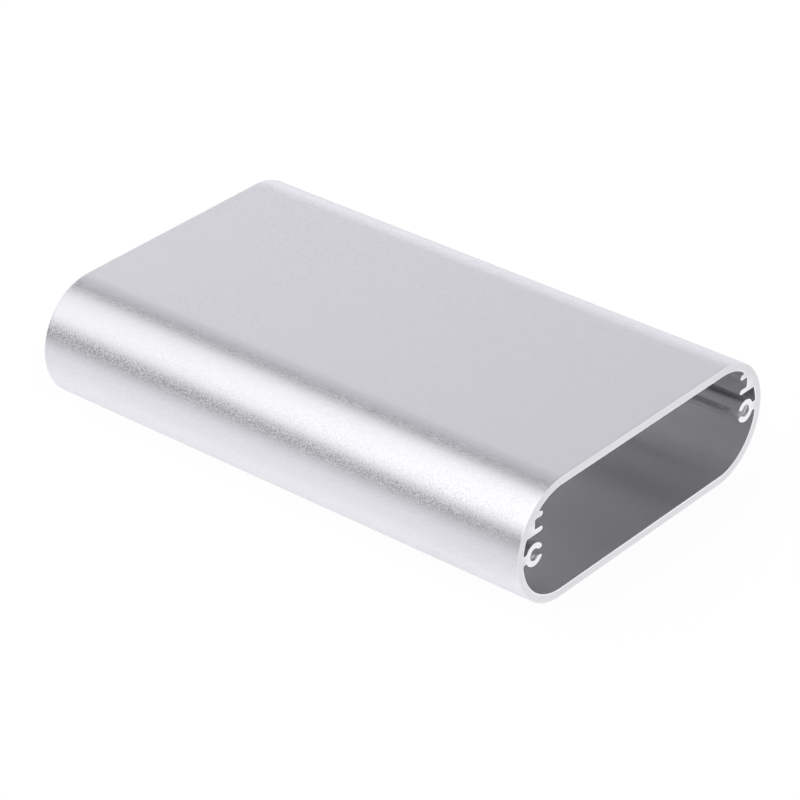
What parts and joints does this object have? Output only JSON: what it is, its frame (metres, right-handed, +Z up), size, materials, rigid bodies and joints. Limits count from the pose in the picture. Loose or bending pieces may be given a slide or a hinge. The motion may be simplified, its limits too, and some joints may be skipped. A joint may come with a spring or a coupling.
{
  "type": "extruded aluminium enclosure sleeve",
  "caption": "Open-ended aluminium extrusion with rounded sides, inner rails that hold a circuit board, and slit channels that take the screws of end plates.",
  "frame": {"origin": "middle of the underside", "axes": "+X across the rounded sides, +Y along the extrusion, +Z up, towards the side that the board rails are nearer to"},
  "size_m": [0.064, 0.1, 0.022],
  "materials": {
    "anodised_aluminium": "fine bead-blasted and clear anodised, with plain cut ends"
  },
  "bodies": {
    "root": {"extruded_sleeve": "anodised_aluminium"}
  },
  "joints": []
}
